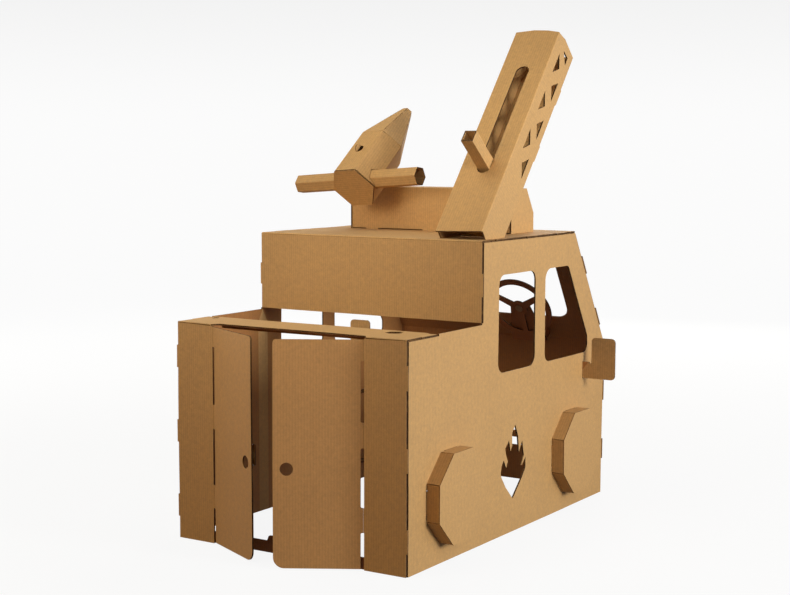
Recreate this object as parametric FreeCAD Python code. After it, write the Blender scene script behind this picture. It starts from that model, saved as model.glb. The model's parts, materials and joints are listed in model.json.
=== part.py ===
import FreeCAD, Part
import math
import os
from collections import namedtuple

os.makedirs("parts", exist_ok=True)

# A child's play fire truck, folded and slotted together from corrugated cardboard.
# Millimetres. It is modelled from the right rear corner (+X forward, +Y left, +Z up) and
# moved at the end, so that the origin is on the floor under the middle of its outer box.

# ---- driving dimensions -------------------------------------------------------------
T = 5.0                    # thickness of the board
TAB = 62.0                 # length of a bridge between two slits of a corner
PROUD = 1.0                # how far a bridge bulges out of its corner
GAP = 0.4                  # between boards that only touch

WIDTH = 742.0
LENGTH = 1154.0
BOX_H = 600.0              # top of the low box behind the cab
ROOF_H = 826.0
CAB_X = 378.0              # rear face of the cab
ROOF_X = 940.0             # front edge of the roof
KNEE_H = 477.0             # crease between windshield and front

CORNER_TABS_Z = (91.0, 297.5, 504.0)
ROOF_TABS_X = (481.0, 662.0, 845.0)
CAB_BACK_TAB_Z = 706.0
CAB_BACK_LOW = 605.0
FRONT_TABS_Z = (137.0, 322.0)
FRONT_LOW = 6.0            # lower edge of the front
GRILLE_Z = (117.0, 164.0)  # two long slots through the front
GRILLE_W = 300.0
GRILLE_H = 25.0
SCREEN_TABS_S = (97.0, 288.0)

# rear doors
RIGHT_HINGE_Y = 131.0
LEFT_HINGE_Y = 615.0
DOOR_W = 229.0
DOOR_LOW = 3.0
DOOR_TOP = 592.0
DOOR_STRAPS_Z = ((538.0, 592.0), (315.0, 381.0), (97.0, 161.0))
HINGE_SLOT = 5.0           # from the crease, half of it on the post
DOOR_SLOT = 6.5            # and this far into the door
RIGHT_DOOR_OPEN = 30.0     # degrees that the doors stand open
LEFT_DOOR_OPEN = 26.0
FINGER_R = 17.0
FLANGE_X = 152.0           # depth of the ledge over the doors
FLANGE_CUT = 20.0          # its rear edge is cut back this far above the doors

# road wheels: octagonal boxes on the outside of the sides
WHEEL_FLATS = 241.0
WHEEL_DEEP = 40.0
WHEEL_SEAM = 1.6           # open seam between two flaps of the rim
WHEEL_Z = 174.0
WHEEL_X = (213.0, 920.0)

MIRROR_X = 1000.0

# base box across the roof, which carries the water gun
BASE_X = 700.0
BASE_TOP = 955.0
BASE_RIGHT_Y = 88.0
BASE_LEFT_Y = 643.0

# water gun
GUN_AT = (560.0, 540.0, 953.0)  # middle of its rear face
GUN_TILT = 37.5
GUN_LEAN = 5.0             # it stands a little askew on its post
GUN_SIDE = 74.5            # side of the hexagon
GUN_BARREL = 191.0
GUN_NOSE = 184.0
GUN_TIP_SIDE = 17.0
HANDLE_S = 37.0            # handle bar's distance from the rear face
HANDLE_LEN = 440.0
HANDLE_R = 29.0
PIVOT_S = 166.0            # trunnion's distance from the rear face
PIVOT_DROP = 38.0          # trunnion's distance below the barrel's axis
POST_AHEAD = 20.0          # turning post's distance ahead of the trunnion
POST_R = 16.0

# boom with its sliding lever
BOOM_AT = (397.0, 14.0, 854.0)  # lower right corner of its slotted face
BOOM_TILT = 51.0
BOOM_W = 143.0
BOOM_DEEP = 114.0
BOOM_LEN = 709.0
SLOT_S = (193.0, 581.0)
SLOT_W = 41.0
TRUSS_BASE = 70.0
TRUSS_HIGH = 27.0
LEVER_W = 37.0
LEVER_S = 225.0
LEVER_OUT = 120.0

# steering wheel, parallel to the windshield
STEER_Y = 237.0
STEER_S = 144.0
STEER_R = 108.0
RIM_W = 19.0

V = FreeCAD.Vector
Frame = namedtuple("Frame", "at u v n")
parts = {}


# ---- flat work ------------------------------------------------------------------------
def place(frame, u, v, n=0.0):
    """The point u, v, n of a local frame."""
    return frame.at + frame.u * u + frame.v * v + frame.n * n


def outline(frame, points, n):
    """A closed wire through (u, v) or (u, v, corner radius) points."""
    edges = []
    starts, ends, mids = [], [], []
    count = len(points)
    for i, point in enumerate(points):
        here = V(point[0], point[1], 0)
        radius = point[2] if len(point) > 2 else 0.0
        before = V(*points[i - 1][:2], 0) - here
        after = V(*points[(i + 1) % count][:2], 0) - here
        before.normalize()
        after.normalize()
        half = before.getAngle(after) / 2
        if radius == 0.0:
            starts.append(here)
            ends.append(here)
            mids.append(None)
            continue
        cut = radius / math.tan(half)
        starts.append(here + before * cut)
        ends.append(here + after * cut)
        bisector = before + after
        bisector.normalize()
        mids.append(here + bisector * (radius / math.sin(half) - radius))
    for i in range(count):
        if mids[i] is not None:
            arc = [place(frame, p.x, p.y, n) for p in (starts[i], mids[i], ends[i])]
            edges.append(Part.Arc(*arc).toShape())
        nxt = starts[(i + 1) % count]
        if (nxt - ends[i]).Length > 1e-6:
            line = [place(frame, p.x, p.y, n) for p in (ends[i], nxt)]
            edges.append(Part.LineSegment(*line).toShape())
    return Part.Wire(edges)


def slab(frame, points, low, high):
    """A flat piece with the given outline between two heights of its frame."""
    face = Part.Face(outline(frame, points, low))
    return face.extrude(frame.n * (high - low))


def disc(frame, u, v, radius, low, high):
    return Part.makeCylinder(radius, high - low, place(frame, u, v, low), frame.n)


def rect(u0, u1, v0, v1, radius=0.0):
    return [(u0, v0, radius), (u1, v0, radius), (u1, v1, radius), (u0, v1, radius)]


def box(x0, x1, y0, y1, z0, z1):
    return Part.makeBox(x1 - x0, y1 - y0, z1 - z0, V(x0, y0, z0))


def polygon(sides, side, turn=0.0):
    """Corner points of a regular polygon with the given side length."""
    radius = side / 2 / math.sin(math.pi / sides)
    angles = [math.radians(turn + 360.0 * k / sides) for k in range(sides)]
    return [(radius * math.cos(a), radius * math.sin(a)) for a in angles]


def shifted(points, du, dv):
    return [(p[0] + du, p[1] + dv) + tuple(p[2:]) for p in points]


def join(shapes):
    return shapes[0].multiFuse(shapes[1:]).removeSplitter()


def mirrored(shape):
    """The same piece on the other side of the truck."""
    return shape.mirror(V(0, WIDTH / 2, 0), V(0, 1, 0))


def turned(vector, axis, degrees):
    return FreeCAD.Rotation(axis, degrees).multVec(vector)


SIDE = Frame(V(0, 0, 0), V(1, 0, 0), V(0, 0, 1), V(0, 1, 0))
REAR = Frame(V(0, 0, 0), V(0, 1, 0), V(0, 0, 1), V(1, 0, 0))
PLAN = Frame(V(0, 0, 0), V(1, 0, 0), V(0, 1, 0), V(0, 0, 1))

slope = V(ROOF_X - LENGTH, 0, ROOF_H - KNEE_H)
SCREEN_LEN = slope.Length
slope.normalize()
SCREEN = Frame(V(LENGTH, 0, KNEE_H), V(0, 1, 0), slope, V(-slope.z, 0, slope.x))

CUT_BACK = T + 1.0                 # sides stop this far short of each slit corner
CROSS_0 = T - 1.8                  # cross boards reach over the sides' inner faces
CROSS_1 = WIDTH - CROSS_0


# ---- side panels -----------------------------------------------------------------------
def side_outline():
    """Edge of a side, cut back wherever a cross board closes the corner."""
    knee_shift = CUT_BACK * math.tan(math.atan2(-slope.x, slope.z) / 2)
    top_x = ROOF_X - CUT_BACK * math.tan(math.atan2(slope.z, -slope.x) / 2)
    return [(CUT_BACK, 0), (LENGTH - CUT_BACK, 0), (LENGTH - CUT_BACK, KNEE_H - knee_shift),
            (top_x, ROOF_H - CUT_BACK), (CAB_X + CUT_BACK, ROOF_H - CUT_BACK),
            (CAB_X + CUT_BACK, CAB_BACK_LOW - GAP), (CAB_X, CAB_BACK_LOW - GAP),
            (CAB_X, BOX_H), (FLANGE_X + GAP, BOX_H), (FLANGE_X + GAP, BOX_H - CUT_BACK),
            (CUT_BACK, BOX_H - CUT_BACK)]


def wheel_tab_frames(wheel_x):
    """One frame for each upright or level side of a wheel's octagon, seen from its middle."""
    for k in range(4):
        out = turned(V(1, 0, 0), V(0, 1, 0), 90 * k)
        along = out.cross(V(0, 1, 0))
        yield Frame(V(wheel_x, 0, WHEEL_Z), out, along, V(0, 1, 0))


def make_side_panel():
    shape = slab(SIDE, side_outline(), 0, T)
    rear_window = [(467, 458, 30), (685, 458, 32), (687, 727, 28), (472, 727, 30)]
    front_window = [(747, 458, 26), (1031, 458, 28), (1031, 506, 18),
                    (896, 727, 20), (748, 727, 34)]
    # the flame is one drop with three tongues each side of its tip
    flame = [(571, 303), (553, 280), (555, 247), (546, 231), (535, 263), (514, 243),
             (518, 226), (530, 205), (521, 187), (506, 211), (494, 197), (488, 172, 20),
             (517, 134, 60), (560, 93), (613, 143, 60), (636, 170, 20), (635, 200),
             (612, 178), (625, 207), (614, 251), (595, 221), (589, 268)]
    cuts = [slab(SIDE, points, -1, T + 1) for points in (rear_window, front_window, flame)]
    cuts.append(box(MIRROR_X - 0.7, MIRROR_X + T + 0.7, -1, T + 1, 379, 431))
    reach = WHEEL_FLATS / 2
    for wheel_x in WHEEL_X:
        for frame in wheel_tab_frames(wheel_x):
            cuts.append(slab(frame, rect(reach - T - 8, reach + 0.8, -32, 32), -1, T + 1))
    return shape.cut(cuts)


parts["right_side_panel"] = make_side_panel()
parts["left_side_panel"] = mirrored(parts["right_side_panel"])


# ---- rear frame, doors and sill ------------------------------------------------------------
def make_rear_frame():
    """Two posts and a ledge folded forward over the doors, one board."""
    pieces = [box(0, T, CROSS_0, RIGHT_HINGE_Y - HINGE_SLOT / 2, 0, BOX_H - T),
              box(0, T, LEFT_HINGE_Y + HINGE_SLOT / 2, CROSS_1, 0, BOX_H - T)]
    ledge = [(0, CROSS_0), (FLANGE_X - 14, CROSS_0), (FLANGE_X - 14, CROSS_0 + 14),
             (FLANGE_X, CROSS_0 + 34), (FLANGE_X, CROSS_1 - 34),
             (FLANGE_X - 14, CROSS_1 - 14), (FLANGE_X - 14, CROSS_1), (0, CROSS_1),
             (0, LEFT_HINGE_Y + 9), (FLANGE_CUT, LEFT_HINGE_Y - 6),
             (FLANGE_CUT, RIGHT_HINGE_Y + 6), (0, RIGHT_HINGE_Y - 7)]
    pieces.append(slab(PLAN, ledge, BOX_H - T, BOX_H))
    pieces.append(box(FLANGE_X - T, FLANGE_X, CROSS_0 + 36, CROSS_1 - 36, BOX_H - 30, BOX_H))
    for z0, z1 in DOOR_STRAPS_Z:
        pieces.append(box(0, T, RIGHT_HINGE_Y - HINGE_SLOT, RIGHT_HINGE_Y - 0.3, z0, z1))
        pieces.append(box(0, T, LEFT_HINGE_Y + 0.3, LEFT_HINGE_Y + HINGE_SLOT, z0, z1))
    for z in CORNER_TABS_Z:
        pieces.append(box(0, T, -PROUD, CROSS_0 + 9, z - TAB / 2, z + TAB / 2))
        pieces.append(box(0, T, CROSS_1 - 9, WIDTH + PROUD, z - TAB / 2, z + TAB / 2))
    pieces.append(box(67, 139, -0.8, WIDTH + 0.8, BOX_H - T, BOX_H))
    hand_hole = shifted(polygon(6, 25), 112, 110)
    small_hole = shifted(polygon(6, 12), 125, 706)
    cuts = [slab(PLAN, points, BOX_H - T - 1, BOX_H + 1) for points in (hand_hole, small_hole)]
    shape = join(pieces).cut(cuts)
    fold = [edge for edge in shape.Edges
            if all(abs(p.Point.x) < 1e-6 and abs(p.Point.z - BOX_H) < 1e-6
                   for p in edge.Vertexes)]
    return shape.makeFillet(3.0, fold)


def make_door(hinge_y, toward, opening):
    """A door that is creased onto its post, turned outward to where it stands."""
    def at(distance):
        return hinge_y + toward * distance

    face = [(at(0), DOOR_LOW), (at(DOOR_W), DOOR_LOW, 28), (at(DOOR_W), DOOR_TOP, 9),
            (at(0), DOOR_TOP)]
    shape = slab(REAR, face, 0, T)
    cuts = [disc(REAR, at(DOOR_W - 35), 260, FINGER_R, -1, T + 1)]
    ends = [DOOR_LOW - 20] + [z for strap in reversed(DOOR_STRAPS_Z) for z in strap]
    for z0, z1 in zip(ends[0::2], ends[1::2]):
        slot = [(at(-10), z0), (at(DOOR_SLOT), z0, 4), (at(DOOR_SLOT), z1, 4), (at(-10), z1)]
        cuts.append(slab(REAR, slot, -1, T + 1))
    shape = shape.cut(cuts)
    shape.rotate(V(0, hinge_y, 0), V(0, 0, 1), toward * opening)
    return shape


def make_sill():
    """Low board inside the doorway with two stops for the doors and folded ends."""
    low, high, x0 = 0.0, 31.0, 7.0
    shape = box(x0, x0 + T, T, WIDTH - T, low, high)
    ears = [box(x0, 48, T, 2 * T, low, high), box(x0, 48, WIDTH - 2 * T, WIDTH - T, low, high)]
    stops = []
    for y in (WIDTH / 2 - 58, WIDTH / 2 + 58):
        bump = [(y - 15, high - 1), (y + 15, high - 1), (y + 8, high + 15, 5),
                (y - 8, high + 15, 5)]
        stops.append(slab(REAR, bump, x0, x0 + T))
    return join([shape] + ears + stops)


parts["rear_frame"] = make_rear_frame()
parts["right_rear_door"] = make_door(RIGHT_HINGE_Y, 1, RIGHT_DOOR_OPEN)
parts["left_rear_door"] = make_door(LEFT_HINGE_Y, -1, LEFT_DOOR_OPEN)
parts["door_sill"] = make_sill()


# ---- roof and front ------------------------------------------------------------------------
BASE_TABS_Y = (567.0, 365.0, 163.0)
BOOM_TAB_X = (452.0, 494.0)


def roof_slots():
    """Slots in the roof for the tabs of the base box and of the boom's sides."""
    low, high = ROOF_H - T - 1, ROOF_H + 1
    slots = [box(BASE_X - GAP, BASE_X + T + GAP, y - 23, y + 23, low, high)
             for y in BASE_TABS_Y]
    for y in (BOOM_AT[1], BOOM_AT[1] + BOOM_W - T):
        slots.append(box(BOOM_TAB_X[0] - 1, BOOM_TAB_X[1] + 1, y - GAP, y + T + GAP, low, high))
    return slots


def make_roof():
    """Roof and the cab's back, one board with a soft fold between them."""
    roof = box(CAB_X, ROOF_X, CROSS_0, CROSS_1, ROOF_H - T, ROOF_H)
    back = box(CAB_X, CAB_X + T, CROSS_0, CROSS_1, CAB_BACK_LOW, ROOF_H)
    pieces = [roof, back]
    for x in ROOF_TABS_X:
        pieces.append(box(x - TAB / 2, x + TAB / 2, -PROUD, WIDTH + PROUD, ROOF_H - T, ROOF_H))
    z = CAB_BACK_TAB_Z
    pieces.append(box(CAB_X, CAB_X + T, -PROUD, WIDTH + PROUD, z - TAB / 2, z + TAB / 2))
    shape = join(pieces).cut(roof_slots())
    fold = [edge for edge in shape.Edges
            if all(abs(p.Point.x - CAB_X) < 1e-6 and abs(p.Point.z - ROOF_H) < 1e-6
                   for p in edge.Vertexes)]
    return shape.makeFillet(4.5, fold)


def make_front():
    """Windshield and front, one board creased at the knee."""
    top_z = ROOF_H - T - 0.4
    top_x = LENGTH + (top_z - KNEE_H) * slope.x / slope.z
    bend = [(LENGTH, FRONT_LOW), (LENGTH, KNEE_H), (top_x, top_z), (top_x - T / slope.z, top_z)]
    inner_knee = KNEE_H - T * math.tan(math.radians(15.8))
    bend += [(LENGTH - T, inner_knee), (LENGTH - T, FRONT_LOW)]
    pieces = [slab(SIDE, bend, CROSS_0, CROSS_1)]
    for z in FRONT_TABS_Z:
        pieces.append(box(LENGTH - T, LENGTH, -PROUD, WIDTH + PROUD, z - TAB / 2, z + TAB / 2))
    for s in SCREEN_TABS_S:
        tab = rect(-PROUD, WIDTH + PROUD, s - TAB / 2, s + TAB / 2)
        pieces.append(slab(SCREEN, tab, 0, T))
    cuts = [slab(SCREEN, rect(98, WIDTH - 98, 84, 345, 40), -5, T + 5)]
    front = Frame(V(LENGTH - T, 0, 0), V(0, 1, 0), V(0, 0, 1), V(1, 0, 0))
    middle = WIDTH / 2
    for z in GRILLE_Z:
        slot = rect(middle - GRILLE_W / 2, middle + GRILLE_W / 2, z, z + GRILLE_H,
                    GRILLE_H / 2 - 0.01)
        cuts.append(slab(front, slot, -1, T + 1))
    return join(pieces).cut(cuts)


parts["roof_and_cab_back"] = make_roof()
parts["windshield_and_front"] = make_front()


# ---- steering ------------------------------------------------------------------------------
STEER_N = 44.0                     # from the windshield's outer face to the wheel


def make_steering_wheel():
    rim = disc(SCREEN, STEER_Y, STEER_S, STEER_R, STEER_N, STEER_N + T)
    hollow = disc(SCREEN, STEER_Y, STEER_S, STEER_R - RIM_W, STEER_N - 1, STEER_N + T + 1)
    pieces = [rim.cut(hollow)]
    for angle in (30, 150, 270):
        along = math.radians(angle)
        u, v = math.cos(along), math.sin(along)
        spoke = []
        for reach, half in ((0, 12), (STEER_R - RIM_W / 2, 8), (STEER_R - RIM_W / 2, -8), (0, -12)):
            spoke.append((STEER_Y + reach * u - half * v, STEER_S + reach * v + half * u))
        pieces.append(slab(SCREEN, spoke, STEER_N, STEER_N + T))
    pieces.append(disc(SCREEN, STEER_Y, STEER_S, 26, STEER_N, STEER_N + T))
    bore = disc(SCREEN, STEER_Y, STEER_S, 7.4, STEER_N - 1, STEER_N + T + 1)
    return join(pieces).cut(bore)


def make_steering_bracket():
    """Folded channel that stands off the windshield's lower band and carries the pin."""
    face_n = STEER_N - 1.5 - T
    face = [(STEER_Y - 62, 12, 6), (STEER_Y + 62, 12, 6), (STEER_Y + 31, STEER_S + 15, 14),
            (STEER_Y - 31, STEER_S + 15, 14)]
    pieces = [slab(SCREEN, face, face_n, face_n + T)]
    for y in (STEER_Y - 56, STEER_Y + 51):
        pieces.append(slab(SCREEN, rect(y, y + T, 16, 72), T + 0.1, face_n + 1))
    bore = disc(SCREEN, STEER_Y, STEER_S, 6.0, face_n - 1, face_n + T + 1)
    return join(pieces).cut(bore)


def make_steering_pin():
    """Round pin with a button head each end, through wheel and bracket."""
    face_n = STEER_N - 1.5 - T
    stem = disc(SCREEN, STEER_Y, STEER_S, 6.0, face_n - 3, STEER_N + T + 3)
    head = disc(SCREEN, STEER_Y, STEER_S, 12.0, STEER_N + T + 1, STEER_N + T + 4)
    tail = disc(SCREEN, STEER_Y, STEER_S, 12.0, face_n - 4, face_n)
    return join([stem, head, tail])


parts["steering_wheel"] = make_steering_wheel()
parts["steering_bracket"] = make_steering_bracket()
parts["steering_pin"] = make_steering_pin()


# ---- road wheels and mirrors -----------------------------------------------------------------
def make_wheel(wheel_x):
    """Octagonal face with a flap folded back from each side; four have tabs through the side."""
    frame = Frame(V(wheel_x, 0, WHEEL_Z), V(1, 0, 0), V(0, 0, 1), V(0, 1, 0))
    side = WHEEL_FLATS * math.tan(math.pi / 8)
    inner = (WHEEL_FLATS - 2 * T) * math.tan(math.pi / 8)
    shape = slab(frame, polygon(8, side, 22.5), -WHEEL_DEEP, 0)
    shape = shape.cut(slab(frame, polygon(8, inner, 22.5), T - WHEEL_DEEP, 1))
    reach = WHEEL_FLATS / 2
    seams = []
    for k in range(8):
        out = turned(V(1, 0, 0), V(0, 1, 0), 22.5 + 45 * k)
        corner = Frame(frame.at, out, out.cross(V(0, 1, 0)), V(0, 1, 0))
        half = WHEEL_SEAM / 2
        seams.append(slab(corner, rect(reach - 2 * T, reach + 20, -half, half), 2 - WHEEL_DEEP, 1))
    shape = shape.cut(seams)
    tabs = []
    gaps = []
    for tab in wheel_tab_frames(wheel_x):
        tabs.append(slab(tab, rect(reach - T, reach, -30, 30), -T, T + 6))
        gaps.append(slab(tab, rect(reach - T - 1, reach + 1, -46, 46), -2.2, 1))
    return join([shape.cut(gaps)] + tabs)


def make_mirror():
    """L-shaped plate pushed through a slot in the side."""
    points = [(24, 380, 6), (24, 430, 6), (-20, 430, 4), (-29, 422, 3), (-29, 505, 12),
              (-106, 505, 13), (-106, 380, 13)]
    return slab(REAR, points, MIRROR_X, MIRROR_X + T)


for place_name, wheel_x in zip(("rear", "front"), WHEEL_X):
    parts[place_name + "_right_wheel"] = make_wheel(wheel_x)
    parts[place_name + "_left_wheel"] = mirrored(parts[place_name + "_right_wheel"])
parts["right_mirror"] = make_mirror()
parts["left_mirror"] = mirrored(parts["right_mirror"])


# ---- base box on the roof ---------------------------------------------------------------------
BASE_OUT = [(BASE_X, ROOF_H), (BASE_X, BASE_TOP), (BASE_X + 93, BASE_TOP),
            (BASE_X + 137, ROOF_H + 57), (BASE_X + 137, ROOF_H)]
BASE_IN = [(BASE_X + T, ROOF_H), (BASE_X + T, BASE_TOP - T), (BASE_X + 90.4, BASE_TOP - T),
           (BASE_X + 132, ROOF_H + 55.4), (BASE_X + 132, ROOF_H)]


def make_base_cover(post_hole):
    """Rear wall, top, sloped front and front wall of the base box, one folded board."""
    shape = slab(SIDE, BASE_OUT, BASE_RIGHT_Y + T + 1, BASE_LEFT_Y - T - 1)
    shape = shape.cut(slab(SIDE, BASE_IN, BASE_RIGHT_Y, BASE_LEFT_Y))
    shape = shape.cut([box(BASE_X - 1, BASE_X + 200, 0, WIDTH, ROOF_H - 1, ROOF_H + 3), post_hole])
    tabs = [box(BASE_X, BASE_X + T, y - 22, y + 22, ROOF_H - T - 3, ROOF_H + 4)
            for y in BASE_TABS_Y]
    return join([shape] + tabs)


def make_base_cheek():
    return slab(SIDE, BASE_OUT, BASE_RIGHT_Y, BASE_RIGHT_Y + T)


# ---- water gun ----------------------------------------------------------------------------------
aim = turned(V(1, 0, 0), V(0, 1, 0), -GUN_TILT)
across = turned(V(0, 1, 0), aim, -GUN_LEAN)
GUN = Frame(V(*GUN_AT), across, aim.cross(across), aim)
pivot_at = place(GUN, 0, -PIVOT_DROP, PIVOT_S)
POST_AXIS = V(0, 0, 1) - across * across.z      # upright, but square to the trunnion
POST_AXIS.normalize()
YOKE = Frame(pivot_at + across.cross(POST_AXIS) * POST_AHEAD, across.cross(POST_AXIS),
             across, POST_AXIS)
YOKE_FLOOR = (BASE_TOP - YOKE.at.z) / POST_AXIS.z + 4.0


def make_gun_barrel():
    """Hexagonal tube, open in front, with slits at the corners where the nose is creased."""
    inner = GUN_SIDE - 2 * T / math.sqrt(3)
    start = T + 0.1
    shape = slab(GUN, polygon(6, GUN_SIDE), start, GUN_BARREL)
    top = GUN_SIDE * math.sqrt(3) / 2
    rear_seam = slab(GUN, rect(-90, 90, -90, top - T), 0, T + 1.6)
    bore = slab(GUN, polygon(6, inner), start - 1, GUN_BARREL + 1)
    handle = Frame(place(GUN, 0, 0, HANDLE_S), GUN.n, GUN.v, GUN.u)
    handle_hole = slab(handle, polygon(6, HANDLE_R + 1.6, 15), -100, 100)
    low = -GUN_SIDE
    yoke_slot = slab(GUN, rect(-37, 37, low, -GUN_SIDE / 2), 104, GUN_BARREL + 1)
    sight = Frame(place(GUN, 4, 0, 106), GUN.u, GUN.n, GUN.v)
    round_hole = disc(sight, 0, 0, 14, 40, 90)
    keep = slab(sight, rect(0, 30, -30, 30), 40, 90)
    slits = []
    for k in range(6):
        angle = math.radians(60 * k)
        corner = V(math.cos(angle), math.sin(angle), 0) * GUN_SIDE
        slit = disc(GUN, corner.x, corner.y, 13, GUN_BARREL - 1.8, GUN_BARREL + 1)
        slits.append(slit)
    return shape.cut([bore, rear_seam, handle_hole, yoke_slot, round_hole.cut(keep)] + slits)


def make_gun_sight():
    """Half-round flap folded up out of the barrel's top."""
    top = GUN_SIDE * math.sqrt(3) / 2
    flap = Frame(place(GUN, 4.5, top, 106), GUN.n, GUN.v, GUN.u)
    shape = disc(flap, 0, 0, 14, 0, T - 2)
    return shape.common(slab(flap, rect(-20, 20, 0, 20), -1, T))


def make_gun_nose():
    """Six-sided cone in front of the barrel, open at both ends."""
    start = GUN_BARREL + 0.1
    end = GUN_BARREL + GUN_NOSE

    def cone(trim, low, high):
        scale = (GUN_SIDE - GUN_TIP_SIDE) / GUN_NOSE
        loops = []
        for n in (low, high):
            side = GUN_SIDE - scale * (n - GUN_BARREL) - trim
            loops.append(outline(GUN, polygon(6, side), n))
        return Part.makeLoft(loops, True, True)

    return cone(0, start, end).cut(cone(6.4, start - 1, end + 1))


def make_gun_nose_tip():
    """Small plate that closes the cone, set just inside its end."""
    return slab(GUN, polygon(6, GUN_TIP_SIDE - 7.0), GUN_BARREL + GUN_NOSE - 6,
                GUN_BARREL + GUN_NOSE - 2)


def make_handle_bar():
    handle = Frame(place(GUN, 0, 0, HANDLE_S), GUN.n, GUN.v, GUN.u)
    half = HANDLE_LEN / 2
    tube = slab(handle, polygon(6, HANDLE_R, 15), -half, half)
    return tube.cut(slab(handle, polygon(6, HANDLE_R - 4.6, 15), -half - 1, half + 1))


def make_trunnion():
    """Round rod across the barrel; its ends are stopped by the barrel's sloping sides."""
    return disc(Frame(pivot_at, GUN.n, GUN.v, GUN.u), 0, 0, 7, -41, 41)


def make_yoke():
    """Base plate and two ears, folded from one board."""
    pieces = [slab(YOKE, rect(-30, 26, -30, 30, 5), YOKE_FLOOR, YOKE_FLOOR + T)]
    for y in (-30, 30 - T):
        ear = Frame(place(YOKE, 0, y, 0), YOKE.u, POST_AXIS, YOKE.v)
        points = [(-25, YOKE_FLOOR), (21, YOKE_FLOOR), (14 - POST_AHEAD, 14, 12),
                  (-14 - POST_AHEAD, 14, 12)]
        pieces.append(slab(ear, points, 0, T))
    bore = disc(Frame(pivot_at, GUN.n, GUN.v, GUN.u), 0, 0, 7.4, -60, 60)
    return join(pieces).cut(bore)


def make_post():
    """Round tube under the yoke, through the top of the base box."""
    tube = disc(YOKE, 0, 0, POST_R, YOKE_FLOOR - 75, YOKE_FLOOR)
    return tube.cut(disc(YOKE, 0, 0, POST_R - 4, YOKE_FLOOR - 76, YOKE_FLOOR + 1))


def make_post_collar():
    """Ring inside the base box that keeps the post from lifting out."""
    high = YOKE_FLOOR - T - 9
    ring = disc(YOKE, 0, 0, POST_R + 11, high - T, high)
    return ring.cut(disc(YOKE, 0, 0, POST_R + 0.2, high - 9, high + 1))


post_hole = disc(YOKE, 0, 0, POST_R + 2.5, YOKE_FLOOR - 25, YOKE_FLOOR + 3)
parts["base_box_cover"] = make_base_cover(post_hole)
parts["base_box_right_cheek"] = make_base_cheek()
cheek = parts["base_box_right_cheek"].copy()
cheek.translate(V(0, BASE_LEFT_Y - T - BASE_RIGHT_Y, 0))
parts["base_box_left_cheek"] = cheek

parts["gun_barrel"] = make_gun_barrel()
parts["gun_rear_plate"] = slab(GUN, polygon(6, GUN_SIDE), 0, T)
parts["gun_sight"] = make_gun_sight()
parts["gun_nose"] = make_gun_nose()
parts["gun_nose_tip"] = make_gun_nose_tip()
parts["gun_handle_bar"] = make_handle_bar()
parts["gun_trunnion"] = make_trunnion()
parts["gun_yoke"] = make_yoke()
parts["gun_post"] = make_post()
parts["gun_post_collar"] = make_post_collar()


# ---- boom -----------------------------------------------------------------------------------------
boom_axis = turned(V(1, 0, 0), V(0, 1, 0), -BOOM_TILT)
boom_down = turned(V(1, 0, 0), V(0, 1, 0), 90 - BOOM_TILT)
BOOM = Frame(V(*BOOM_AT), boom_axis, boom_down, V(0, 1, 0))          # seen from the side
BOOM_FACE = Frame(V(*BOOM_AT), boom_axis, V(0, 1, 0), boom_down)      # seen from behind
BOOM_MID = BOOM_W / 2
FOOT_Z = ROOF_H + GAP
SLIDER_S = 150.0                   # lower edge of the lever's slider
SLIDER_T = T + 1.5                 # its depth behind the slotted face
TRUSS_NEAR_S = (347.0, 487.0, 627.0)
TRUSS_FAR_S = (277.0, 417.0, 557.0)


def boom_s_at(z, depth):
    """Distance along the boom at which a line of the given depth has height z."""
    return (z - BOOM_AT[2] - depth * boom_down.z) / boom_axis.z


def boom_side_outline(deep):
    tabs = []
    for s in (560.0, 353.0):
        tabs += [(s + 30, deep), (s + 26, deep + 4), (s - 26, deep + 4), (s - 30, deep)]
    heel = boom_s_at(FOOT_Z, 33)
    return [(0, 0), (BOOM_LEN - 2, 0), (BOOM_LEN + 9, 42), (BOOM_LEN + 3, deep)] + tabs + [
        (boom_s_at(FOOT_Z, deep), deep), (heel, 33)]


def truss_holes():
    """Two rows of triangles, pointing toward each other, through the right side."""
    low, high = -5, T + 5
    cuts = []
    for s in TRUSS_NEAR_S:
        points = [(s - TRUSS_BASE / 2, 40), (s + TRUSS_BASE / 2, 40), (s, 40 + TRUSS_HIGH)]
        cuts.append(slab(BOOM, points, low, high))
    for s in TRUSS_FAR_S:
        points = [(s - TRUSS_BASE / 2, 88), (s + TRUSS_BASE / 2, 88), (s, 88 - TRUSS_HIGH)]
        cuts.append(slab(BOOM, points, low, high))
    cuts.append(slab(BOOM, [(659, 88), (687, 88), (687, 55)], low, high))
    return cuts


def make_boom_shell():
    """Slotted face with a side folded down each edge."""
    sides = [slab(BOOM, boom_side_outline(BOOM_DEEP), 0, T).cut(truss_holes()),
             slab(BOOM, boom_side_outline(BOOM_DEEP), BOOM_W - T, BOOM_W)]
    for y in (BOOM_AT[1], BOOM_AT[1] + BOOM_W - T):
        sides.append(box(*BOOM_TAB_X, y, y + T, ROOF_H - T - 3, ROOF_H + 12))
    # both ends of the face are cut a little out of square, and the upper one bows
    edge = [(-4, 0), (BOOM_LEN, 0), (BOOM_LEN + 8, 40), (BOOM_LEN + 11, 85),
            (BOOM_LEN + 5, BOOM_W), (-9, BOOM_W)]
    face = slab(BOOM_FACE, edge, 0, T)
    slot = slab(BOOM_FACE, rect(SLOT_S[0], SLOT_S[1], BOOM_MID - SLOT_W / 2,
                                BOOM_MID + SLOT_W / 2, SLOT_W / 2 - 0.01), -1, T + 1)
    return join([face.cut(slot)] + sides)


def make_boom_underside():
    """Board between the two sides, a little inside their lower edges."""
    low = boom_s_at(FOOT_Z, BOOM_DEEP)
    return slab(BOOM_FACE, rect(low, BOOM_LEN + 2, T, BOOM_W - T), BOOM_DEEP - T - 1,
                BOOM_DEEP - 1)


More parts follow.
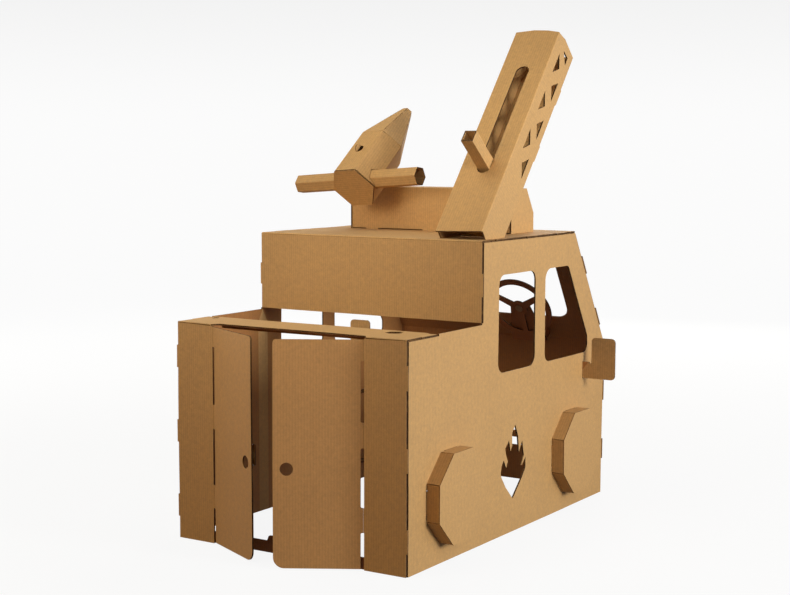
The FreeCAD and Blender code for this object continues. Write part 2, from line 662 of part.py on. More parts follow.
def make_lever():
    """Square tube that stands out of the slot, open at both ends."""
    half = LEVER_W / 2
    outer = rect(LEVER_S - half, LEVER_S + half, BOOM_MID - half, BOOM_MID + half)
    inner = rect(LEVER_S - half + 4, LEVER_S + half - 4, BOOM_MID - half + 4, BOOM_MID + half - 4)
    tube = slab(BOOM_FACE, outer, -LEVER_OUT, 46)
    return tube.cut(slab(BOOM_FACE, inner, -LEVER_OUT - 1, 47))


def make_slider():
    """Forked plate that runs behind the slotted face and holds the lever on three sides."""
    half = LEVER_W / 2
    plate = slab(BOOM_FACE, rect(SLIDER_S, LEVER_S + half + 5, 12, BOOM_W - 12, 6), SLIDER_T,
                 SLIDER_T + T)
    mouth = rect(SLIDER_S - 1, LEVER_S + half, BOOM_MID - half, BOOM_MID + half)
    return plate.cut(slab(BOOM_FACE, mouth, 0, 40))


parts["boom_shell"] = make_boom_shell()
parts["boom_underside"] = make_boom_underside()
parts["slide_lever"] = make_lever()
parts["lever_slider"] = make_slider()


# ---- move to the row's origin and write ---------------------------------------------------------
whole = Part.makeCompound(list(parts.values())).BoundBox
to_origin = V(-(whole.XMin + whole.XMax) / 2, -WIDTH / 2, 0)
for name, shape in parts.items():
    moved = shape.Solids[0].copy()
    moved.translate(to_origin)
    moved.exportStep("parts/" + name + ".step")
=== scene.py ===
"""A child's play fire truck, slotted and folded from brown corrugated board."""
import json
import math

import bmesh
import bpy
from mathutils import Matrix, Vector, noise
from mathutils.bvhtree import BVHTree

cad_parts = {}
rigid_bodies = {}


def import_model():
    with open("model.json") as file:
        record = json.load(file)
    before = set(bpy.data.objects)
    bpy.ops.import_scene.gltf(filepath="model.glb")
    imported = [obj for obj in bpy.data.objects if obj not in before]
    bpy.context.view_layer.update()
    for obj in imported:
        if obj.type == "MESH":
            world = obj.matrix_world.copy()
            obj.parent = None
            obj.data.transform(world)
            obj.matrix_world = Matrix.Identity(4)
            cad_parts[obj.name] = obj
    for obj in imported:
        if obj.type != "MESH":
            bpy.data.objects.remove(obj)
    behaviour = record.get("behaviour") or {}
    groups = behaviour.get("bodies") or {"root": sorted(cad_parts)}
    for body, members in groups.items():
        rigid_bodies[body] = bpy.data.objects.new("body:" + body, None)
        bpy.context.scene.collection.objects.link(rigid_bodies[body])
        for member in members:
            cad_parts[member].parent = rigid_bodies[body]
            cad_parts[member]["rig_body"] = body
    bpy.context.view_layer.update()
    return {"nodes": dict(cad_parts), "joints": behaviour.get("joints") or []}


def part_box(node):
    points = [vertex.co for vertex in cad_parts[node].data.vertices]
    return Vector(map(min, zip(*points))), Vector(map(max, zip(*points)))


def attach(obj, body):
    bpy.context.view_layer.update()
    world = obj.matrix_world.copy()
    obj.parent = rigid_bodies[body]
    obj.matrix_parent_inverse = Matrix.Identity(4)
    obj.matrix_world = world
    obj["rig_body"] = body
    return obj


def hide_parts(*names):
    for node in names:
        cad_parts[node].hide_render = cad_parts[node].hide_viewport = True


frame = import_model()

noise.seed_set(5)          # without a seed, noise_vector differs from run to run

# Metres, like every length below.
BOARD = 0.005              # thickness of the board
FLUTE = 0.0075             # one wave of the corrugation
CELL = 0.045               # size of the grid that lets a sheet curve
FOLD_OUT = 0.0030          # rounding of a fold, outside
TUBE_FOLD = 0.0022         # of the wheels' and the gun's folds
BAR_FOLD = 0.0018          # of the handle bar's
LEVER_FOLD = 0.0016        # of the lever's
FOLD_IN = 0.0008           # rounding of a fold, inside
CUT = 0.00035              # rounding of a cut edge
CORE_ROUND = 0.0007        # rounding of a pin's rim
CUT_DEPTH = 0.0085         # board that is deeper than this behind a face shows a cut edge there
FLAP_DEPTH = 0.004         # the same for the sight, which is a narrow flap
WELD = 2e-6                # points of the CAD mesh nearer than this are one
HIDDEN = 1e-5              # a ray starts this far under the face

FLAT = math.radians(0.6)   # faces within this angle are one face
CREASE = math.radians(11)  # an edge sharper than this is rounded
RIM = math.radians(50)     # the same for pins
GUN_TILT = math.radians(37.5)        # the gun's aim above level at rest
SAME_FACE = 0.90           # cosine: flat faces closer in direction than this share a normal
SAME_FOLD = 0.62           # the same for the faces of a rounding

X = Vector((1, 0, 0))
Z = Vector((0, 0, 1))
ORIENT = Vector((1.0, 0.7, 0.3))     # a direction square to no board: it settles signs


def joint(name):
    """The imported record's entry for a joint."""
    return next(j for j in frame["joints"] if j["name"] == name)


BOOM_AXIS = Vector(joint("lever_slide")["axis"]).normalized()
BOOM_DOWN = Vector((BOOM_AXIS.z, 0, -BOOM_AXIS.x))
GUN_ACROSS = Vector(joint("gun_pitch")["axis"]).normalized()
GUN_AIM = Matrix.Rotation(-GUN_TILT, 3, "Y") @ X


# ---- materials ---------------------------------------------------------------------------------
class Nodes:
    """Short names for building a node tree."""

    def __init__(self, name):
        self.material = bpy.data.materials.new(name)
        self.material.use_nodes = True
        self.tree = self.material.node_tree
        self.shader = self.tree.nodes["Principled BSDF"]

    def add(self, kind, **values):
        node = self.tree.nodes.new("ShaderNode" + kind)
        for key, value in values.items():
            setattr(node, key, value)
        return node

    def put(self, socket, value):
        if isinstance(value, bpy.types.NodeSocket):
            self.tree.links.new(value, socket)
        else:
            socket.default_value = value

    def math(self, operation, a, b=0.0, c=0.0):
        node = self.add("Math", operation=operation)
        for socket, value in zip(node.inputs, (a, b, c)):
            self.put(socket, value)
        return node.outputs[0]

    def noise(self, vector, scale, detail=2.0, rough=0.5, distort=0.0):
        node = self.add("TexNoise")
        self.put(node.inputs["Vector"], vector)
        node.inputs["Scale"].default_value = scale
        node.inputs["Detail"].default_value = detail
        node.inputs["Roughness"].default_value = rough
        node.inputs["Distortion"].default_value = distort
        return node.outputs["Fac"]

    def vary(self, value, factor, amount):
        """Value plus a noise factor's distance from its middle, weighted."""
        away = self.math("SUBTRACT", factor, 0.5)
        return self.math("ADD", value, self.math("MULTIPLY", away, amount))

    def remap(self, value, low, high, to_low=0.0, to_high=1.0):
        node = self.add("MapRange", interpolation_type="SMOOTHSTEP")
        self.put(node.inputs["Value"], value)
        numbers = (("From Min", low), ("From Max", high), ("To Min", to_low), ("To Max", to_high))
        for key, number in numbers:
            node.inputs[key].default_value = number
        return node.outputs["Result"]

    def mix(self, factor, a, b, blend="MIX"):
        node = self.add("Mix", data_type="RGBA", blend_type=blend)
        self.put(node.inputs["Factor"], factor)
        self.put(node.inputs["A"], a)
        self.put(node.inputs["B"], b)
        return node.outputs["Result"]

    def bump(self, height, strength, distance, normal=None):
        node = self.add("Bump")
        node.inputs["Strength"].default_value = strength
        node.inputs["Distance"].default_value = distance
        self.put(node.inputs["Height"], height)
        if normal is not None:
            self.put(node.inputs["Normal"], normal)
        return node.outputs["Normal"]


def opaque(colour, scale=(1.0, 1.0, 1.0)):
    """A socket's colour value from three numbers, each scaled."""
    return tuple(c * s for c, s in zip(colour, scale)) + (1.0,)


def board_uv(n):
    """The board's UV, and from it the distance across the flutes and along them, in metres.

    On a cut edge the second is the depth through the board.
    """
    uv = n.add("UVMap", uv_map="board").outputs["UV"]
    split = n.add("SeparateXYZ")
    n.put(split.inputs[0], uv)
    return uv, split.outputs["X"], split.outputs["Y"]


def scaled(n, vector, x, y, z=1.0):
    """The vector with each part multiplied, for noise that is drawn out one way."""
    node = n.add("VectorMath", operation="MULTIPLY")
    n.put(node.inputs[0], vector)
    node.inputs[1].default_value = (x, y, z)
    return node.outputs[0]


def liner(name, colour):
    """The smooth kraft face: fibres, clouding, faint flutes, scuffs and painted indoor shade."""
    n = Nodes(name)
    uv, across, _ = board_uv(n)
    spot = n.add("TexCoord").outputs["Object"]
    cloud = n.noise(spot, 7.0, 3.0, 0.55)
    mottle = n.noise(spot, 95.0, 4.0, 0.72)
    fibre = n.noise(scaled(n, uv, 420.0, 1500.0), 1.0, 3.0, 0.6, 0.4)
    fleck = n.noise(scaled(n, uv, 260.0, 900.0), 1.0, 1.0, 0.5, 1.2)
    wave = n.math("SINE", n.math("MULTIPLY", across, 2 * math.pi / FLUTE))

    light = n.vary(n.vary(n.vary(1.0, cloud, 0.13), mottle, 0.62), fibre, 0.42)
    light = n.math("ADD", light, n.math("MULTIPLY", wave, 0.050))
    shade = n.add("VectorMath", operation="SCALE")
    n.put(shade.inputs[0], colour)
    n.put(shade.inputs["Scale"], light)
    dark = opaque(colour, (0.62, 0.62, 0.62))
    pale = tuple(min(1.0, c * 1.22 + 0.02) for c in colour) + (1.0,)
    tint = n.mix(n.remap(fleck, 0.66, 0.74, 0.0, 0.55), shade.outputs[0], dark)
    tint = n.mix(n.remap(fleck, 0.33, 0.27, 0.0, 0.45), tint, pale)
    scuff = n.noise(scaled(n, uv, 9.0, 40.0), 1.0, 4.0, 0.7, 1.5)
    tint = n.mix(n.remap(scuff, 0.64, 0.78, 0.0, 0.30), tint, pale)
    # painted shade: faces that look into the truck, the inner boards and the doors are darkened
    # and warmed here
    painted_indoor_shade = n.add("Attribute", attribute_name="painted_indoor_shade").outputs["Fac"]
    tint = n.mix(painted_indoor_shade, tint, n.mix(1.0, tint, INDOOR_SHADE_TINT, "MULTIPLY"))
    n.put(n.shader.inputs["Base Color"], tint)
    rough = n.math("ADD", n.remap(mottle, 0.3, 0.7, 0.66, 0.80), n.math("MULTIPLY", fibre, 0.06))
    n.put(n.shader.inputs["Roughness"], rough)
    n.shader.inputs["Specular IOR Level"].default_value = 0.42
    soft = n.bump(wave, 0.35, 0.00007)
    n.put(n.shader.inputs["Normal"], n.bump(n.math("ADD", fibre, mottle), 0.45, 0.00012, soft))
    return n.material


def cut_edge(name, colour):
    """The board's cut edge: two liners and wavy medium, partly crushed; painted shade in the
    voids.
    """
    n = Nodes(name)
    _, across, depth = board_uv(n)
    spot = n.add("TexCoord").outputs["Object"]
    ragged = n.noise(spot, 900.0, 2.0, 0.6)
    crush = n.noise(spot, 55.0, 2.0, 0.5)
    phase = n.vary(n.math("MULTIPLY", across, 2 * math.pi / FLUTE), crush, 2.5)
    height = n.math("MULTIPLY_ADD", n.math("SINE", phase), 0.0016, BOARD / 2)
    gap = n.math("ABSOLUTE", n.math("SUBTRACT", depth, height))
    medium = n.remap(gap, 0.00030, 0.00075, 1.0, 0.0)
    centre = n.math("ABSOLUTE", n.math("SUBTRACT", depth, BOARD / 2))
    skins = n.remap(centre, 0.0017, 0.0021, 0.0, 1.0)
    paper = n.math("MAXIMUM", medium, skins)
    paper = n.math("MAXIMUM", paper, n.remap(crush, 0.50, 0.66, 0.15, 0.75))
    # painted shade: the voids near black; the paper darker, partly its own colour, partly shade
    flute_void_shade = opaque(colour, (0.05, 0.035, 0.03))
    shaded_torn_paper = opaque(colour, (0.42, 0.35, 0.27))
    tint = n.mix(paper, flute_void_shade, shaded_torn_paper)
    shaded = opaque(colour, (0.22, 0.17, 0.12))
    tint = n.mix(n.remap(ragged, 0.35, 0.75, 0.0, 0.35), tint, shaded)
    n.put(n.shader.inputs["Base Color"], tint)
    n.put(n.shader.inputs["Roughness"], n.remap(ragged, 0.3, 0.7, 0.80, 0.95))
    n.shader.inputs["Specular IOR Level"].default_value = 0.2
    n.put(n.shader.inputs["Normal"], n.bump(paper, 0.8, 0.0012, n.bump(ragged, 0.5, 0.0003)))
    return n.material


def rolled_core(name, colour):
    """Wound paper tube and pins: fine rings of paper with a fibrous face."""
    n = Nodes(name)
    spot = n.add("TexCoord").outputs["Object"]
    ring = n.noise(scaled(n, spot, 90.0, 90.0, 700.0), 1.0, 2.0, 0.5)
    grain = n.noise(spot, 1200.0, 3.0, 0.6)
    dark = opaque(colour, (0.72, 0.70, 0.66))
    tint = n.mix(n.remap(ring, 0.35, 0.68), opaque(colour), dark)
    tint = n.mix(n.remap(grain, 0.6, 0.75, 0.0, 0.4), tint, dark)
    n.put(n.shader.inputs["Base Color"], tint)
    n.put(n.shader.inputs["Roughness"], n.remap(grain, 0.3, 0.7, 0.62, 0.82))
    n.shader.inputs["Specular IOR Level"].default_value = 0.35
    n.put(n.shader.inputs["Normal"], n.bump(grain, 0.5, 0.0002))
    return n.material


INDOOR_SHADE_TINT = (0.62, 0.34, 0.13, 1.0)          # painted shade: what the liner is multiplied by where it looks into the truck
LINER = liner("kraft_liner", (0.500, 0.281, 0.099))
# the cut edge is darker than the liner: partly its own colour, partly painted shade
EDGE = cut_edge("kraft_cut_edge", (0.43, 0.25, 0.105))
CORE = rolled_core("kraft_rolled_core", (0.40, 0.235, 0.105))


# ---- sheets ------------------------------------------------------------------------------------
def flute_direction(normal, wanted):
    """The flutes' direction in a sheet: the first wanted direction that lies well in it."""
    for direction in wanted:
        flat = direction - normal * direction.dot(normal)
        if flat.length > 0.35:       # otherwise it is nearly square to the sheet
            return flat.normalized()
    return normal.orthogonal().normalized()


def flute_axes(normal, wanted):
    """The directions across and along the flutes, across with a settled sign."""
    along = flute_direction(normal, wanted)
    across = normal.cross(along)
    return (-across if across.dot(ORIENT) < 0 else across), along


def welded(node):
    """The CAD node's mesh with its double points joined."""
    bm = bmesh.new()
    bm.from_mesh(frame["nodes"][node].data)
    bmesh.ops.remove_doubles(bm, verts=bm.verts, dist=WELD)
    bmesh.ops.recalc_face_normals(bm, faces=bm.faces)
    return bm


def mark_cuts(bm, reach):
    """Material 1 on cut edges: behind them the board is deeper than reach."""
    tree = BVHTree.FromBMesh(bm)
    depth = {}
    for face in bm.faces:
        start = face.calc_center_median() - face.normal * HIDDEN
        hit, _, _, distance = tree.ray_cast(start, -face.normal)
        depth[face.index] = distance if hit is not None else reach * 2
    for face in bm.faces:
        face.material_index = 0 if depth[face.index] < reach else 1


def unfold(bm, wanted):
    """Writes the board UV: across the flutes, and along them or through the thickness."""
    layer = bm.loops.layers.uv.new("board")
    for face in bm.faces:
        if face.material_index == 0:
            across, along = flute_axes(face.normal, wanted)
            for loop in face.loops:
                loop[layer].uv = (loop.vert.co.dot(across), loop.vert.co.dot(along))
    for face in bm.faces:
        if face.material_index == 0:
            continue
        best, skin = 0.0, None
        for edge in face.edges:
            for other in edge.link_faces:
                if other.material_index == 0 and edge.calc_length() > best:
                    best = edge.calc_length()
                    skin = (other.normal.copy(), edge.verts[0].co.copy())
        if skin is None:
            skin = (face.normal.orthogonal().normalized(), face.verts[0].co.copy())
        normal, start = skin
        across, _ = flute_axes(normal, wanted)
        flip = normal.dot(ORIENT) < 0
        for loop in face.loops:
            through = min(max((start - loop.vert.co).dot(normal), 0.0), BOARD)
            through = BOARD - through if flip else through
            loop[layer].uv = (loop.vert.co.dot(across), through)


def round_edges(bm, fold_out):
    """Rounds the folds, outside and inside, and takes the sharpness off the cut edges."""
    def pick(test):
        found = []
        for edge in bm.edges:
            if len(edge.link_faces) != 2 or edge.calc_face_angle(0.0) < CREASE:
                continue
            marks = sum(f.material_index for f in edge.link_faces)
            if test(marks, edge.calc_face_angle_signed(0.0)):
                found.append(edge)
        return found

    steps = ((fold_out, 3, lambda marks, angle: marks == 0 and angle > 0),
             (FOLD_IN, 2, lambda marks, angle: marks == 0 and angle < 0),
             (CUT, 1, lambda marks, angle: marks >= 1 and angle > 0))
    strip = bm.faces.layers.int.new("strip")
    for offset, segments, test in steps:
        edges = pick(test)
        if edges:
            made = bmesh.ops.bevel(bm, geom=edges, offset=offset, segments=segments, profile=0.5,
                                   affect="EDGES", clamp_overlap=True, loop_slide=True)
            for face in made["faces"]:
                face[strip] = 1


def corner_normals(bm):
    """One normal per face corner: flat board shades flat, and a rounding blends between."""
    strip = bm.faces.layers.int["strip"]
    normals = []
    for face in bm.faces:
        limit = SAME_FOLD if face[strip] == 1 else SAME_FACE
        for vertex in face.verts:
            flat = Vector((0, 0, 0))
            soft = Vector((0, 0, 0))
            for other in vertex.link_faces:
                if other.normal.dot(face.normal) < limit:
                    continue
                weight = other.normal * other.calc_area()
                if other[strip] == 1:
                    soft += weight
                else:
                    flat += weight
            found = flat if flat.length > 0 else soft
            normals.append((found if found.length > 0 else face.normal).normalized())
    return normals


def grid(bm, cell):
    """Cuts the sheet into cells so that it can curve."""
    low = Vector([min(v.co[i] for v in bm.verts) for i in range(3)])
    high = Vector([max(v.co[i] for v in bm.verts) for i in range(3)])
    for axis in range(3):
        span = high[axis] - low[axis]
        count = int(span / cell)
        normal = Vector([1.0 if i == axis else 0.0 for i in range(3)])
        for k in range(1, count + 1):
            at = low[axis] + span * k / (count + 1)
            bmesh.ops.bisect_plane(bm, geom=bm.verts[:] + bm.edges[:] + bm.faces[:],
                                   dist=1e-6, plane_co=normal * at, plane_no=normal)


def smoothstep(x):
    """0 below 0, 1 above 1, and smooth between."""
    x = min(1.0, max(0.0, x))
    return x * x * (3 - 2 * x)


def hinge_line(name):
    """Where a door's upright crease is, seen from above."""
    place = joint(name)["pos_m"]
    return Vector((place[0], place[1]))


HINGES = {"right_door": hinge_line("right_door_hinge"),
          "left_door": hinge_line("left_door_hinge")}
SLOW_BOW, FAST_BOW = 0.0022, 0.0005   # how far board bows over half a metre, and over 15 cm
DOOR_BOW = 0.0016                     # how far a door's free edge bows, outwards only
ON_THE_ROOF = 0.84                    # above this height the pieces are small and bow less


def warp(point, body):
    """How far board at a point has bowed out of true: a few millimetres at most."""
    slow = noise.noise_vector(point * 2.1 + Vector((7.3, 1.9, 4.1)))
    fast = noise.noise_vector(point * 7.0 + Vector((2.7, 9.1, 5.3)))
    move = slow * SLOW_BOW + fast * FAST_BOW
    flat = Vector((point.x, point.y))
    if body == "truck_body":
        near = min((flat - hinge).length for hinge in HINGES.values())
        move *= 0.12 + 0.88 * smoothstep(near / 0.10)        # nearly true at the creases
        if point.z > ON_THE_ROOF:
            move *= 0.35
        move.z *= smoothstep(point.z / 0.08)                 # and level on the floor
    elif body in HINGES:
        reach = (flat - HINGES[body]).length
        phase = 1.0 if body == "right_door" else -1.0        # so that the two doors differ
        bow = -DOOR_BOW * smoothstep(reach / 0.23) * (1.0 + math.sin(point.z * 4.6 + phase))
        move = move * 0.3 * smoothstep(reach / 0.1) + Vector((bow, 0, 0))
        move.z = 0.0
    else:
        move *= 0.25
    return move


RIGHT_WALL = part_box("right_side_panel")
LEFT_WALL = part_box("left_side_panel")
FRONT_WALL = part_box("windshield_and_front")
ROOF_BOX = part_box("roof_and_cab_back")
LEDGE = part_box("rear_frame")
KNEE_Z = 0.477                        # crease between windshield and front
LOOK_AHEAD = 0.009                    # how far in front of a face its surroundings are tested
INDOOR_SHADE_LEVEL = 0.65                        # how much painted shade faces that look into the truck get, of 1
DOOR_PAINTED_SHADE = {"right": 0.26, "left": 0.12}     # painted shade on the doors' outer faces, where less light reaches, of 1


def is_indoors(point):
    """Whether a point is inside the truck."""
    if not RIGHT_WALL[0][1] + BOARD < point.y < LEFT_WALL[1][1] - BOARD:
        return False
    if not LEDGE[0][0] + BOARD < point.x < FRONT_WALL[1][0] - BOARD:
        return False
    if point.z < LEDGE[1][2] - BOARD and point.x < ROOF_BOX[0][0]:
        return True
    lean = (FRONT_WALL[1][0] - ROOF_BOX[1][0]) / (ROOF_BOX[1][2] - KNEE_Z)
    screen = FRONT_WALL[1][0] - max(0.0, point.z - KNEE_Z) * lean
    return (ROOF_BOX[0][0] + BOARD < point.x < screen - BOARD
            and point.z < ROOF_BOX[1][2] - BOARD)


def paint_indoor_shade(bm, least):
    """Painted shade per face, darker and warmer: more where it looks into the truck."""
    layer = bm.faces.layers.float.new("painted_indoor_shade")
    for face in bm.faces:
        inside = is_indoors(face.calc_center_median() + face.normal * LOOK_AHEAD)
        face[layer] = max(least, INDOOR_SHADE_LEVEL if inside else 0.0)


def sheet(node, wanted=(Z, X), reach=CUT_DEPTH, fold_out=FOLD_OUT, cell=CELL,
          slot="kraft_board", bow=1.0, painted_shade=0.0):
    """The visible board for a CAD node: rounded folds, cut edges, slight bowing."""
    bm = welded(node)
    mark_cuts(bm, reach)
    bmesh.ops.dissolve_limit(bm, angle_limit=FLAT, verts=bm.verts, edges=bm.edges,
                             delimit={"MATERIAL"})
    round_edges(bm, fold_out)
    if cell:
        grid(bm, cell)
    bmesh.ops.triangulate(bm, faces=[f for f in bm.faces if len(f.verts) > 4])
    bm.normal_update()
    unfold(bm, wanted)
    # painted shade: inner boards get all of it, the doors some on their outer faces
    paint_indoor_shade(bm, 1.0 if slot == "inner_board" else painted_shade)
    body = frame["nodes"][node]["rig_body"]
    for vertex in bm.verts:
        vertex.co += warp(vertex.co, body) * bow
    finish_piece(bm, node, (LINER, EDGE))


def finish_piece(bm, node, materials):
    """Makes the mesh into the piece that stands for the CAD node."""
    mesh = bpy.data.meshes.new(node + "_board")
    for face in bm.faces:
        face.smooth = True
    bm.normal_update()
    normals = corner_normals(bm)
    bm.to_mesh(mesh)
    bm.free()
    for material in materials:
        mesh.materials.append(material)
    mesh.normals_split_custom_set(normals)
    piece = bpy.data.objects.new(node + "_board", mesh)
    bpy.context.scene.collection.objects.link(piece)
    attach(piece, frame["nodes"][node]["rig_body"])
    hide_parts(node)


def core(node):
    """Solid or wound round pieces: pins and the post."""
    bm = welded(node)
    bmesh.ops.dissolve_limit(bm, angle_limit=FLAT, verts=bm.verts, edges=bm.edges)
    edges = [e for e in bm.edges if len(e.link_faces) == 2 and e.calc_face_angle(0.0) > RIM]
    bm.faces.layers.int.new("strip")
    bmesh.ops.bevel(bm, geom=edges, offset=CORE_ROUND, segments=2, profile=0.5, affect="EDGES",
                    clamp_overlap=True)
    bmesh.ops.triangulate(bm, faces=[f for f in bm.faces if len(f.verts) > 4])
    finish_piece(bm, node, (CORE,))


# ---- pieces ------------------------------------------------------------------------------------
# inner boards get the full painted indoor shade
inner = {"slot": "inner_board"}
for side in ("right", "left"):
    sheet(side + "_side_panel")
    # painted shade on the door's outer face
    sheet(side + "_rear_door", painted_shade=DOOR_PAINTED_SHADE[side])
    sheet(side + "_mirror", cell=None)
    for end in ("rear", "front"):
        sheet(end + "_" + side + "_wheel", fold_out=TUBE_FOLD)
    sheet("base_box_" + side + "_cheek")
sheet("rear_frame")
sheet("door_sill", bow=0.15, **inner)
sheet("roof_and_cab_back")
sheet("windshield_and_front")
sheet("steering_wheel", cell=None, **inner)
sheet("steering_bracket", **inner)
core("steering_pin")
sheet("base_box_cover")
for node in ("gun_barrel", "gun_rear_plate", "gun_nose"):
    sheet(node, wanted=(GUN_AIM, GUN_ACROSS), fold_out=TUBE_FOLD)
sheet("gun_nose_tip", wanted=(GUN_ACROSS,), cell=None)
sheet("gun_sight", wanted=(GUN_AIM,), cell=None, reach=FLAP_DEPTH)
sheet("gun_handle_bar", wanted=(GUN_ACROSS,), fold_out=BAR_FOLD)
sheet("gun_yoke", cell=None, **inner)
for node in ("gun_trunnion", "gun_post", "gun_post_collar"):
    core(node)
sheet("boom_shell", wanted=(BOOM_AXIS, Z))
sheet("boom_underside", wanted=(BOOM_AXIS, Z))
sheet("slide_lever", wanted=(BOOM_DOWN, Z), fold_out=LEVER_FOLD)
sheet("lever_slider", wanted=(BOOM_AXIS, Z), cell=None, **inner)


# ---- studio ------------------------------------------------------------------------------------
GLOW_NEAR, GLOW_FAR, GLOW_HIGH = 0.90, 0.96, 0.86    # under the object, around it, and above


def studio_white():
    """Matt studio white that is mostly lit from within, so that its shadows stay pale."""
    n = Nodes("studio_white")
    spot = n.add("TexCoord").outputs["Object"]
    cloth = n.noise(spot, 3.0, 3.0, 0.5)
    white = (0.06, 0.06, 0.06)
    low = opaque(white, (0.985, 0.985, 0.985))
    n.put(n.shader.inputs["Base Color"], n.mix(cloth, low, opaque(white)))
    n.shader.inputs["Roughness"].default_value = 0.9
    n.shader.inputs["Specular IOR Level"].default_value = 0.0
    n.shader.inputs["Emission Color"].default_value = (1.0, 1.0, 1.0, 1.0)
    split = n.add("SeparateXYZ")
    n.put(split.inputs[0], spot)
    reach = n.add("VectorMath", operation="LENGTH")
    n.put(reach.inputs[0], spot)
    near = n.remap(reach.outputs["Value"], 0.8, 5.0, GLOW_NEAR, GLOW_FAR)
    high = n.remap(split.outputs["Z"], 1.2, 3.4, 0.0, GLOW_FAR - GLOW_HIGH)
    n.put(n.shader.inputs["Emission Strength"], n.math("SUBTRACT", near, high))
    return n.material


SWEEP_SIDES = 96


def sweep(radius, rise):
    """Pale studio floor that turns up all round, far from the object."""
    bm = bmesh.new()
    rings = [(radius * k / 8, 0.0) for k in range(1, 9)]
    rings += [(radius + rise * math.sin(a), rise * (1 - math.cos(a)))
              for a in (math.radians(d) for d in range(6, 91, 6))]
    rings.append((radius + rise, rise * 3))
    turns = [2 * math.pi * k / SWEEP_SIDES for k in range(SWEEP_SIDES)]
    loops = [[bm.verts.new((r * math.cos(turn), r * math.sin(turn), z)) for turn in turns]
             for r, z in rings]
    middle = bm.verts.new((0, 0, 0))
    for k in range(SWEEP_SIDES):
        m = (k + 1) % SWEEP_SIDES
        bm.faces.new((middle, loops[0][k], loops[0][m]))
    for a, b in zip(loops, loops[1:]):
        for k in range(SWEEP_SIDES):
            m = (k + 1) % SWEEP_SIDES
            bm.faces.new((a[k], b[k], b[m], a[m]))
    for face in bm.faces:
        face.smooth = True
    mesh = bpy.data.meshes.new("studio_floor")
    bm.to_mesh(mesh)
    bm.free()
    mesh.materials.append(studio_white())
    floor = bpy.data.objects.new("studio_floor", mesh)
    bpy.context.scene.collection.objects.link(floor)
    floor.visible_diffuse = False


def hang(name, kind, place, toward, power, colour):
    """Puts up a light that faces a point, and gives its data."""
    light = bpy.data.lights.new(name, kind)
    light.energy = power
    light.color = colour
    lamp = bpy.data.objects.new(name, light)
    lamp.location = place
    lamp.rotation_mode = "QUATERNION"
    lamp.rotation_quaternion = (Vector(place) - Vector(toward)).to_track_quat("Z", "Y")
    bpy.context.scene.collection.objects.link(lamp)
    return light


def softbox(name, place, toward, size, power, colour):
    """A square or oblong light: its sides in metres, its power in watts."""
    light = hang(name, "AREA", place, toward, power, colour)
    light.shape = "RECTANGLE"
    light.size, light.size_y = size


def softspot(name, place, toward, angle, radius, power, colour):
    """A round light that lights only a cone, its angle in degrees, fading to its rim."""
    light = hang(name, "SPOT", place, toward, power, colour)
    light.spot_size = math.radians(angle)
    light.spot_blend = 1.0
    light.shadow_soft_size = radius


def room(strength, sky, ground):
    """Even room light from above the horizon, little from below it."""
    world = bpy.data.worlds.new("studio")
    world.use_nodes = True
    tree = world.node_tree
    background = tree.nodes["Background"]
    spot = tree.nodes.new("ShaderNodeTexCoord")
    split = tree.nodes.new("ShaderNodeSeparateXYZ")
    ramp = tree.nodes.new("ShaderNodeMapRange")
    blend = tree.nodes.new("ShaderNodeMix")
    blend.data_type = "RGBA"
    ramp.inputs["From Min"].default_value = -0.15
    ramp.inputs["From Max"].default_value = 0.25
    blend.inputs["A"].default_value = ground + (1.0,)
    blend.inputs["B"].default_value = sky + (1.0,)
    tree.links.new(spot.outputs["Generated"], split.inputs[0])
    tree.links.new(split.outputs["Z"], ramp.inputs["Value"])
    tree.links.new(ramp.outputs["Result"], blend.inputs["Factor"])
    tree.links.new(blend.outputs["Result"], background.inputs["Color"])
    background.inputs["Strength"].default_value = strength
    bpy.context.scene.world = world


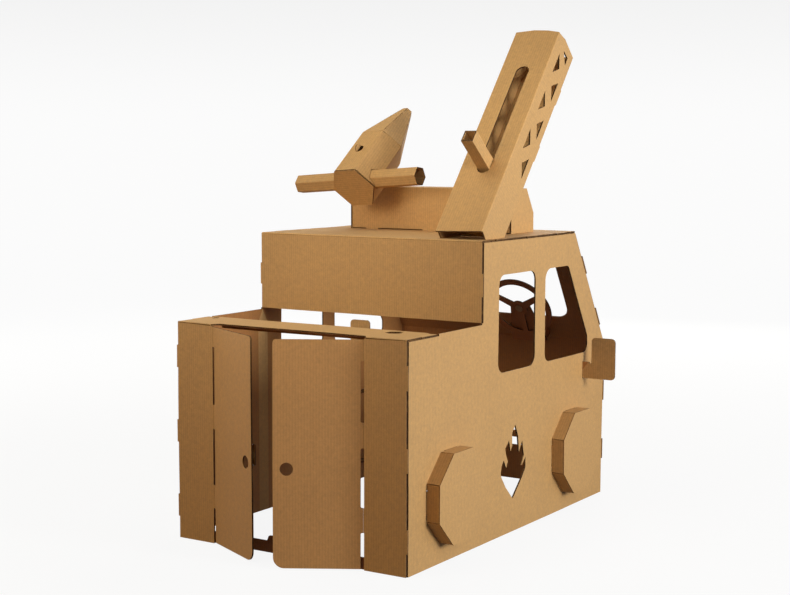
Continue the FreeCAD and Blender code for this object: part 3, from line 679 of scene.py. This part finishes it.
sweep(9.0, 3.0)
softbox("over_rear", (-1.3, 0.5, 3.0), (-0.1, 0.0, 0.8), (1.2, 1.2), 28.0, (0.96, 1.0, 0.90))
softbox("over_front", (2.4, 0.0, 3.2), (-0.1, 0.0, 0.7), (2.0, 2.0), 42.0, (1.0, 0.94, 0.80))
softbox("right", (-0.3, -4.5, 1.4), (-0.1, -0.3, 0.72), (1.2, 1.2), 152.0, (0.98, 1.0, 1.0))
softbox("right_near", (0.2, -2.6, 1.8), (-0.2, -0.3, 0.7), (1.4, 1.4), 18.0, (1.0, 0.99, 0.96))
softbox("rear", (-5.0, 0.6, 1.3), (0.0, 0.0, 0.6), (2.4, 2.0), 44.0, (1.0, 0.56, 0.14))
softbox("rear_left", (-4.0, 2.6, 3.2), (0.0, 0.0, 0.8), (1.8, 1.8), 24.0, (1.0, 0.80, 0.42))
softspot("rear_spot", (-2.4, 0.5, 1.5), (0.1, 0.05, 0.80), 28.0, 0.5, 96.0, (0.98, 1.0, 0.92))
softspot("boom_spot", (-2.6, -2.2, 2.3), (0.08, -0.29, 1.2), 15.0, 0.15, 105.0, (0.96, 1.0, 0.98))
softbox("left", (0.3, 4.6, 2.2), (0.0, 0.0, 0.7), (2.4, 2.0), 75.0, (1.0, 0.96, 0.85))
softbox("front", (4.8, 1.4, 1.8), (0.3, 0.0, 0.6), (2.4, 2.0), 60.0, (1.0, 0.96, 0.85))
room(0.05, (1.0, 0.84, 0.62), (0.30, 0.20, 0.10))
bpy.context.scene.view_settings.view_transform = "Standard"

CAMERA_AT = (-3.66191, -2.33270, 1.07381)
YAW, PITCH, ROLL = math.radians(32.4615), math.radians(-5.6708), math.radians(0.165)
LENS = 69.08               # millimetres, for a sensor 36 mm wide

camera = bpy.data.cameras.new("camera")
camera.sensor_width = 36.0
camera.lens = LENS
camera.clip_end = 60.0
seen_from = bpy.data.objects.new("camera", camera)
forward = Vector((math.cos(PITCH) * math.cos(YAW), math.cos(PITCH) * math.sin(YAW),
                  math.sin(PITCH)))
upright = forward.to_track_quat("-Z", "Y").to_matrix()
rolled = Matrix.Rotation(-ROLL, 3, forward) @ upright
seen_from.matrix_world = Matrix.Translation(CAMERA_AT) @ rolled.to_4x4()
bpy.context.scene.collection.objects.link(seen_from)
bpy.context.scene.camera = seen_from
